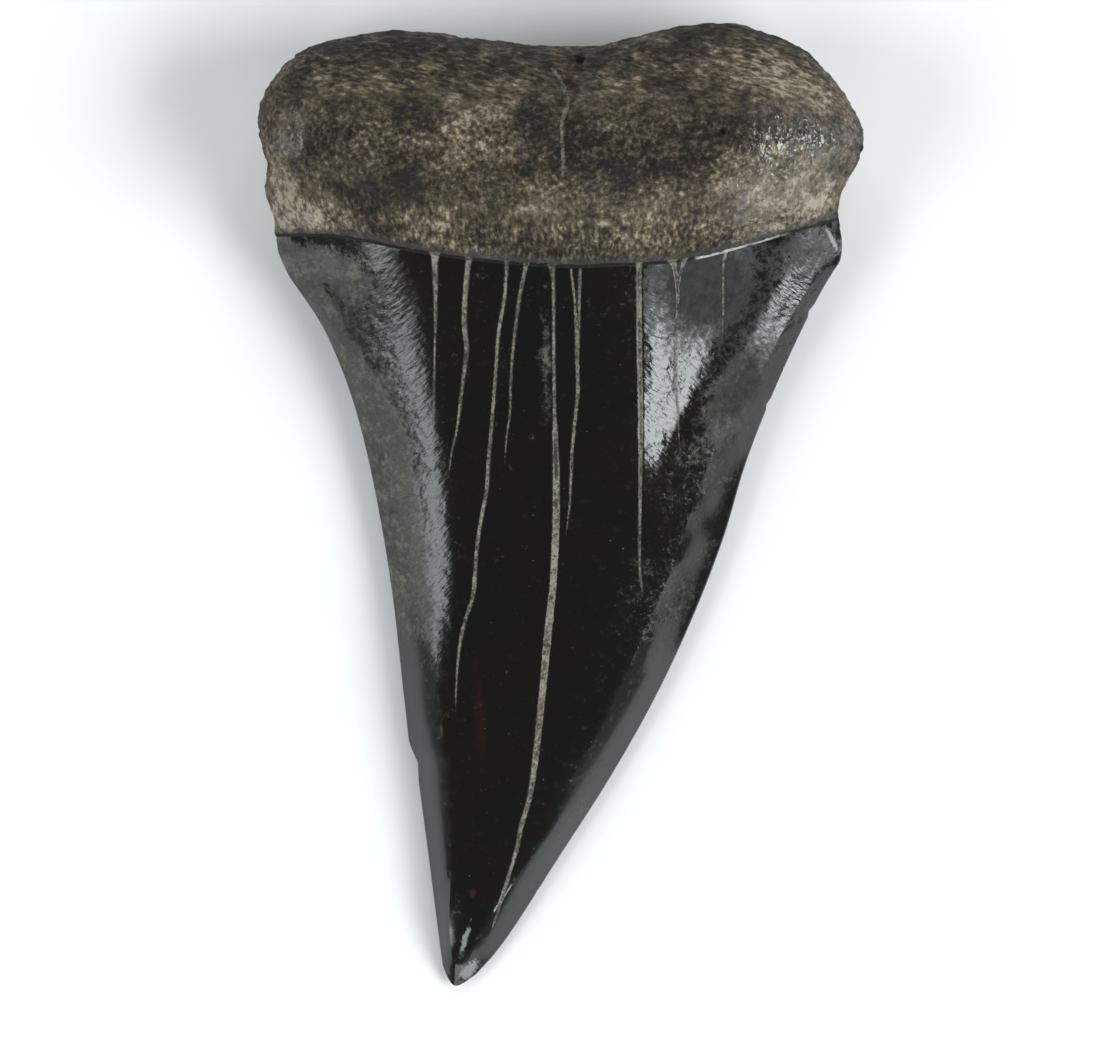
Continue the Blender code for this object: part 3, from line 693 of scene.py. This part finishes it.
class Nodes:
    """Short calls for building one material's node tree."""

    def __init__(self, name):
        self.material = bpy.data.materials.new(name)
        self.material.use_nodes = True
        self.tree = self.material.node_tree
        self.shader = self.tree.nodes["Principled BSDF"]

    def put(self, socket, value):
        """Links VALUE to SOCKET if it is another node's output, and sets it there otherwise."""
        if isinstance(value, bpy.types.NodeSocket):
            self.tree.links.new(value, socket)
        else:
            socket.default_value = value

    def math(self, operation, *values):
        node = self.tree.nodes.new("ShaderNodeMath")
        node.operation = operation
        for socket, value in zip(node.inputs, values):
            self.put(socket, value)
        return node.outputs[0]

    def times(self, *values):
        product = values[0]
        for value in values[1:]:
            product = self.math("MULTIPLY", product, value)
        return product

    def total(self, *values):
        result = values[0]
        for value in values[1:]:
            result = self.math("ADD", result, value)
        return result

    def attribute(self, name):
        node = self.tree.nodes.new("ShaderNodeAttribute")
        node.attribute_name = name
        return node.outputs["Fac"]

    def step(self, value, low, high):
        """0 below LOW, 1 above HIGH, smooth between them. With LOW above HIGH it falls instead."""
        node = self.tree.nodes.new("ShaderNodeMapRange")
        node.interpolation_type = "SMOOTHSTEP"
        ends = (min(low, high), max(low, high), float(low > high), float(low <= high))
        for socket, setting in zip(node.inputs, (value, *ends)):
            self.put(socket, setting)
        return node.outputs[0]

    def mix(self, factor, a, b, blend="MIX"):
        node = self.tree.nodes.new("ShaderNodeMix")
        node.data_type = "RGBA"
        node.blend_type = blend
        colours = [socket for socket in node.inputs if socket.type == "RGBA"]
        self.put(node.inputs["Factor"], factor)
        for socket, value in zip(colours, (a, b)):
            self.put(socket, (*value, 1) if isinstance(value, tuple) else value)
        return next(socket for socket in node.outputs if socket.type == "RGBA")

    def ramp(self, value, stops):
        """Colour at VALUE, from (place, colour) stops."""
        node = self.tree.nodes.new("ShaderNodeValToRGB")
        elements = node.color_ramp.elements
        elements.remove(elements[1])
        for i, (place, colour) in enumerate(stops):
            element = elements[0] if i == 0 else elements.new(place)
            element.position = place
            element.color = (*colour, 1)
        self.put(node.inputs["Fac"], value)
        return node.outputs["Color"]

    def noise(self, size, detail=3.0, rough=0.5, turn=0.0, distortion=0.0):
        """Noise centred on 0. SIZE is in millimetres, one number or one an axis, turned about z."""
        size = size if isinstance(size, tuple) else (size, size, size)
        coordinates = self.tree.nodes.new("ShaderNodeTexCoord")
        turned = self.tree.nodes.new("ShaderNodeVectorRotate")
        turned.rotation_type = "Z_AXIS"
        turned.inputs["Angle"].default_value = math.radians(turn)
        self.put(turned.inputs["Vector"], coordinates.outputs["Object"])
        scaled = self.tree.nodes.new("ShaderNodeVectorMath")
        scaled.operation = "MULTIPLY"
        self.put(scaled.inputs[0], turned.outputs["Vector"])
        scaled.inputs[1].default_value = [1 / (length * MM) for length in size]
        node = self.tree.nodes.new("ShaderNodeTexNoise")
        self.put(node.inputs["Vector"], scaled.outputs["Vector"])
        node.inputs["Scale"].default_value = 1.0
        node.inputs["Detail"].default_value = detail
        node.inputs["Roughness"].default_value = rough
        node.inputs["Distortion"].default_value = distortion
        return self.math("SUBTRACT", node.outputs["Fac"], 0.5)

    def bump(self, height, socket):
        """Bends the shader's normals at SOCKET by HEIGHT, in millimetres."""
        node = self.tree.nodes.new("ShaderNodeBump")
        node.inputs["Distance"].default_value = MM
        self.put(node.inputs["Height"], height)
        self.put(self.shader.inputs[socket], node.outputs["Normal"])


BONE_COLOURS = [
    (0.0, (0.0078, 0.0062, 0.0046)), (0.22, (0.021, 0.0163, 0.0117)), (0.42, (0.05, 0.0385, 0.0255)),
    (0.6, (0.094, 0.073, 0.0475)), (0.8, (0.174, 0.142, 0.096)), (1.0, (0.345, 0.293, 0.218)),
]
BONE_BASE_TONE = 0.435  # the place in BONE_COLOURS of bone without any mottling
FILL_COLOURS = [(0.0, (0.012, 0.01, 0.008)), (0.45, (0.1, 0.09, 0.07)), (1.0, (0.235, 0.22, 0.178))]
FILM_COLOURS = [
    (0.0, (0.0105, 0.01, 0.0075)), (0.5, (0.035, 0.0325, 0.0245)), (1.0, (0.112, 0.104, 0.083)),
]
BROWNER, MORE_OLIVE = (1.15, 0.9, 0.72), (0.92, 0.99, 0.86)  # these two multiply the bone's colour
DARK_FLECK_COLOUR = (0.008, 0.0062, 0.005)
BROW_COLOUR = (0.045, 0.044, 0.041)  # the dark band of bone just above the neck
LIP_COLOUR = (0.5, 0.49, 0.46)
# Painted shade: the dark line where the bone's foot overhangs the enamel, and the shadow beside the fill of
# a crack.
PAINTED_SHADE_COLOUR = (0.004, 0.004, 0.0035)  # under the bone's foot and beside the fill of a crack
CORE_COLOUR = (0.012, 0.011, 0.009)  # the dark middle of a crack
ENAMEL_WARM, ENAMEL_COLD = (0.0055, 0.0042, 0.0028), (0.0035, 0.0042, 0.004)
# The lower bevels' grey green is in part a painted reflection of the pale table that the steep bevels
# mirror.
BEVEL_TINT_AND_REFLECTION = (0.011, 0.0145, 0.012)
RED_COLOUR = (0.035, 0.012, 0.006)
RIGHT_FILM_TINT = (0.42, 0.44, 0.41)  # multiplies the crust's colour on the crown's right half
SPECK_COLOUR, SCRATCH_AND_HIGHLIGHT_COLOUR = (0.12, 0.125, 0.12), (0.27, 0.29, 0.28)
LABIAL_SHARE = 0.6  # how much of the crust lies on the labial enamel


def sediment(n, tone):
    """The pale sediment that fills the cracks and the root's seam."""
    tone = n.total(n.times(n.noise(0.22, 4, 0.7), 3.4), n.times(n.noise(1.2, 2), 1.6), tone)
    return n.ramp(tone, FILL_COLOURS)


def bone_material():
    """The root's bone: mottled, darker in its pores, with painted shade along its top rim and painted sheen
    on its lower right, and worn smooth and glossy in places.
    """
    n = Nodes("fossil_bone")
    lingual, neck = n.attribute("lingual"), n.attribute("neck")
    down, level = n.attribute("down"), n.attribute("level")
    even = n.math("MAXIMUM", n.math("SUBTRACT", 1.0, n.math("ADD", down, level)), 0.2)
    worn = n.step(n.total(n.attribute("gloss"), n.times(n.noise(0.8, 4, 0.65), 1.4)), 0.25, 0.9)
    fleck = n.total(
        n.times(n.noise(0.34, 4, 0.62), even),
        n.times(n.noise((0.26, 0.75, 0.5), 4, 0.62, -6), down),
        n.times(n.noise((0.75, 0.26, 0.5), 4, 0.62, 14), level),
    )
    # The tone attribute carries painted shade along the root's top rim and painted sheen on its lower
    # right, besides the bone's own tone.
    tone = n.total(
        n.attribute("tone"), n.times(n.attribute("grain"), 0.09),
        n.times(fleck, n.math("SUBTRACT", 2.2, worn)),
        n.times(n.noise(1.2, 4, 0.65), 1.2), n.times(n.noise(4.5, 3, 0.6), 1.2), BONE_BASE_TONE,
    )
    colour = n.ramp(tone, BONE_COLOURS)
    warmth = n.math("ADD", n.attribute("warmth"), n.times(n.noise(1.6, 4, 0.6), 2.2))
    colour = n.mix(n.step(warmth, 0.1, 1.6), colour, BROWNER, "MULTIPLY")
    colour = n.mix(n.step(warmth, 0.0, -1.2), colour, MORE_OLIVE, "MULTIPLY")
    # Dark flecks, placed at random.
    dark_flecks = n.step(n.noise(0.4, 3, 0.65, distortion=0.4), -0.1, -0.22)
    colour = n.mix(n.times(dark_flecks, 0.8), colour, DARK_FLECK_COLOUR)
    seam = n.step(n.math("ADD", n.attribute("seam"), n.times(n.noise(0.3, 4, 0.7), 0.3)), 0.03, -0.03)
    colour = n.mix(n.times(seam, lingual, 0.75), colour, sediment(n, 0.6))
    brow = n.step(n.math("ADD", neck, n.times(n.noise(0.6, 4, 0.7), 0.8)), 0.5, 0.15)
    colour = n.mix(n.times(brow, lingual, 0.75), colour, BROW_COLOUR)
    # The foot's dark line is painted shade under the bone's overhang; the lip's pale line is drawn over
    # part of it.
    foot = n.times(n.step(n.math("ADD", neck, n.times(n.noise(0.6, 3, 0.6), 0.25)), 0.02, -0.03), lingual)
    past_wall = n.math("SUBTRACT", n.attribute("crack"), n.times(n.attribute("crack_width"), 0.5))
    fill = n.times(n.step(past_wall, 0.03, -0.02), n.step(n.attribute("crack_width"), 0.05, 0.09))
    colour = n.mix(n.times(foot, 0.9), colour, n.mix(fill, PAINTED_SHADE_COLOUR, sediment(n, 0.42)))
    breaks = n.step(n.noise(0.6, 3, 0.6), -0.2, 0.06)
    thin = n.step(n.math("ADD", neck, n.times(n.noise(0.8, 3, 0.6), 0.3)), -0.02, -0.07)
    colour = n.mix(n.times(foot, thin, n.attribute("lip"), breaks), colour, LIP_COLOUR)
    n.put(n.shader.inputs["Base Color"], colour)

    n.shader.inputs["Roughness"].default_value = 0.65
    n.shader.inputs["Specular IOR Level"].default_value = 0.25
    n.put(n.shader.inputs["Coat Weight"], n.times(worn, lingual))
    n.shader.inputs["Coat Roughness"].default_value = 0.12
    n.shader.inputs["Coat IOR"].default_value = 1.6
    n.bump(n.times(n.noise(0.35, 4, 0.7), 0.2), "Normal")
    n.bump(n.times(n.noise((0.5, 0.8, 0.5), 1.5, 0.5, -10, 0.8), 0.3), "Coat Normal")
    return n.material


def enamel_material():
    """The crown's near black enamel, its crust, stains and wrinkles, and what fills its cracks, with
    painted highlights, reflection, sheen and shade in places.
    """
    n = Nodes("fossil_enamel")
    lingual = n.attribute("lingual")
    mottle = n.total(n.times(n.noise(0.35, 5, 0.75), 2.2), n.times(n.noise(1.5, 4, 0.65), 1.7))
    waver = n.times(n.noise(1.0, 5, 0.7), 1.4)
    left, right = (
        n.times(n.step(n.math("ADD", n.attribute(past), waver), -0.3, 0.4), lingual)
        for past in ("left_bevel", "right_bevel")
    )
    low, right_half = n.attribute("low"), n.attribute("right_half")
    bevel = n.times(n.math("MAXIMUM", left, right), low)

    # Over the upper left bevel the crust is in part a painted reflection, standing in for the pale table
    # that the bevel mirrors.
    upper_left = n.times(left, n.math("SUBTRACT", 1.0, low))
    crust = n.total(n.attribute("film"), n.times(upper_left, 0.85), n.times(right, 0.12), mottle)
    film = n.times(n.step(crust, 0.3, 1.25), n.math("MAXIMUM", lingual, LABIAL_SHARE))
    dull = n.total(n.attribute("dull"), n.times(n.noise(0.6, 5, 0.75), 1.8))
    dull = n.times(n.step(dull, 0.0, 1.1), lingual)

    colour = n.mix(n.step(n.noise(5.0, 2), -0.15, 0.15), ENAMEL_WARM, ENAMEL_COLD)
    # Lower bevels: grey green, in part painted reflection.
    colour = n.mix(n.times(bevel, 0.9), colour, BEVEL_TINT_AND_REFLECTION)
    red = n.math("ADD", n.attribute("red"), n.times(n.noise((0.5, 2.0, 1.0), 3), 0.8))
    colour = n.mix(n.times(n.step(red, 0.4, 1.6), 0.8), colour, RED_COLOUR)
    crust_colour = n.ramp(n.math("ADD", mottle, 0.5), FILM_COLOURS)
    crust_colour = n.mix(n.times(right_half, lingual), crust_colour, RIGHT_FILM_TINT, "MULTIPLY")
    colour = n.mix(film, colour, crust_colour)
    specks = n.step(n.noise(0.2, 1), 0.29, 0.32)
    colour = n.mix(n.times(specks, lingual, 0.6), colour, SPECK_COLOUR)
    # The pale marks are scratches, with painted highlights on the keel, at the right shoulder's top and on
    # the left edge.
    streaks = n.times(n.noise((0.12, 0.5, 0.3), 3, 0.6, -35), 1.5)
    pale = n.step(n.math("ADD", n.attribute("pale"), streaks), 0.3, 1.0)
    colour = n.mix(n.times(pale, 0.8), colour, SCRATCH_AND_HIGHLIGHT_COLOUR)

    width = n.attribute("crack_width")
    wobble = n.times(n.noise(0.3, 4, 0.7), 0.22)
    past_wall = n.math("SUBTRACT", n.math("ADD", n.attribute("crack"), wobble), n.times(width, 0.5))
    wide = n.times(n.step(width, 0.05, 0.09), lingual)
    fill = n.times(n.step(past_wall, 0.012, -0.02), wide)
    shadow = n.times(n.step(past_wall, 0.13, 0.03), wide)
    colour = n.mix(shadow, colour, PAINTED_SHADE_COLOUR)
    across = n.math("DIVIDE", n.attribute("crack"), n.math("MAXIMUM", width, 0.01))
    core = n.times(n.step(across, 0.32, 0.16), n.attribute("core"))
    core = n.times(core, n.step(n.noise((0.4, 0.9, 0.5), 3), -0.08, 0.04))
    dark_spots = n.times(n.step(n.noise(0.3, 3, 0.6), -0.1, -0.18), n.step(across, 0.42, 0.3))
    core = n.math("MINIMUM", n.math("MAXIMUM", core, dark_spots), 1.0)
    filling = sediment(n, n.total(0.38, n.times(width, 0.5)))
    colour = n.mix(fill, colour, n.mix(core, filling, CORE_COLOUR))
    n.put(n.shader.inputs["Base Color"], colour)

    left_crinkle, right_crinkle = n.attribute("left_crinkle"), n.attribute("right_crinkle")
    rough = n.total(
        0.13,
        n.times(dull, n.total(0.66, n.times(n.noise(0.5, 4, 0.7), 0.6))),
        n.times(upper_left, 0.14),
        n.times(left, low, 0.06),
        n.times(film, n.math("SUBTRACT", 0.25, n.times(right_half, 0.2))),
        n.times(left_crinkle, 0.11),
        n.times(right_crinkle, 0.03),
    )
    for matte in (fill, n.times(shadow, 0.4)):
        rough = n.math("MAXIMUM", rough, n.times(matte, 0.85))
    n.put(n.shader.inputs["Roughness"], n.math("MINIMUM", rough, 0.9))
    n.shader.inputs["IOR"].default_value = 1.6

    wrinkles = n.total(
        n.times(n.noise((1.0, 0.25, 0.5), 3, 0.5, -38, 0.3), left_crinkle, 0.058),
        n.times(n.noise((1.0, 0.25, 0.5), 3, 0.5, 34, 0.3), right_crinkle, 0.068),
        n.times(n.noise(0.8, 1), n.math("ADD", left_crinkle, right_crinkle), 0.06),
    )
    skin = n.times(n.noise(0.3, 4, 0.7), n.total(0.0004, n.times(dull, 0.05), n.times(film, 0.05)))
    n.bump(n.math("ADD", wrinkles, skin), "Normal")
    return n.material


# ---------------------------------------------------------------- table, lights and camera


def plain_material(name, colour, roughness):
    material = bpy.data.materials.new(name)
    material.use_nodes = True
    shader = material.node_tree.nodes["Principled BSDF"]
    shader.inputs["Base Color"].default_value = (*colour, 1)
    shader.inputs["Roughness"].default_value = roughness
    return material


def make_floor():
    """The pale table, a little under the tooth."""
    mesh = bpy.data.meshes.new("floor")
    reach = 4.0
    corners = [(-reach, -reach, 0), (reach, -reach, 0), (reach, reach, 0), (-reach, reach, 0)]
    mesh.from_pydata(corners, [], [(0, 1, 2, 3)])
    floor = bpy.data.objects.new("floor", mesh)
    floor.location.z = -0.1 * MM
    mesh.materials.append(plain_material("pale_table", (0.86, 0.86, 0.86), 0.9))
    bpy.context.scene.collection.objects.link(floor)


LIGHT_COLOUR = (0.94, 0.98, 1.0)
ROOM_COLOUR = (0.1, 0.1, 0.1)


def area_light(name, place, size, radiance):
    """A softbox at PLACE that faces the tooth. SIZE is its height and its width."""
    light = bpy.data.lights.new(name, "AREA")
    light.shape = "RECTANGLE"
    light.size_y, light.size = size
    light.energy = radiance * math.pi * size[0] * size[1]
    light.color = LIGHT_COLOUR
    lamp = bpy.data.objects.new(name, light)
    lamp.location = place
    lamp.rotation_euler = Vector(place).to_track_quat("Z", "Y").to_euler()
    bpy.context.scene.collection.objects.link(lamp)


def make_lights():
    """Soft boxes round the table, as (name, place, size, radiance), and a dim grey room."""
    boxes = [
        ("left_softbox", (-0.72, -0.2, 0.55), (0.44, 0.8), 5.0),
        ("right_softbox", (0.72, -0.22, 0.55), (0.4, 0.8), 10.0),
        ("front_softbox", (0.0, -1.1, 0.55), (0.4, 1.0), 2.5),
        ("back_softbox", (0.0, 1.0, 0.6), (0.5, 1.2), 3.0),
    ]
    for name, place, size, radiance in boxes:
        area_light(name, place, size, radiance)
    world = bpy.data.worlds.new("studio")
    world.use_nodes = True
    world.node_tree.nodes["Background"].inputs["Color"].default_value = (*ROOM_COLOUR, 1)
    bpy.context.scene.world = world


def make_camera():
    """A camera that looks straight down and frames the tooth as the photograph does."""
    camera = bpy.data.cameras.new("camera")
    camera.sensor_width = 36.0
    camera.lens = camera.sensor_width * CAMERA_DISTANCE / (FRAME_WIDTH / PIXELS_PER_MM * MM)
    camera.clip_start, camera.clip_end = 0.05, 20
    eye = bpy.data.objects.new("camera", camera)
    x = (FRAME_WIDTH / 2 - TOOTH_AT[0]) / PIXELS_PER_MM
    y = (TOOTH_AT[1] - FRAME_HEIGHT / 2) / PIXELS_PER_MM
    eye.location = (x * MM, y * MM, CAMERA_DISTANCE + OUTLINE_HEIGHT * MM)
    bpy.context.scene.collection.objects.link(eye)
    bpy.context.scene.camera = eye


tooth = make_tooth()
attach(tooth, "root")
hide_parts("tooth")
make_floor()
make_lights()
make_camera()
bpy.context.scene.view_settings.view_transform = "Standard"
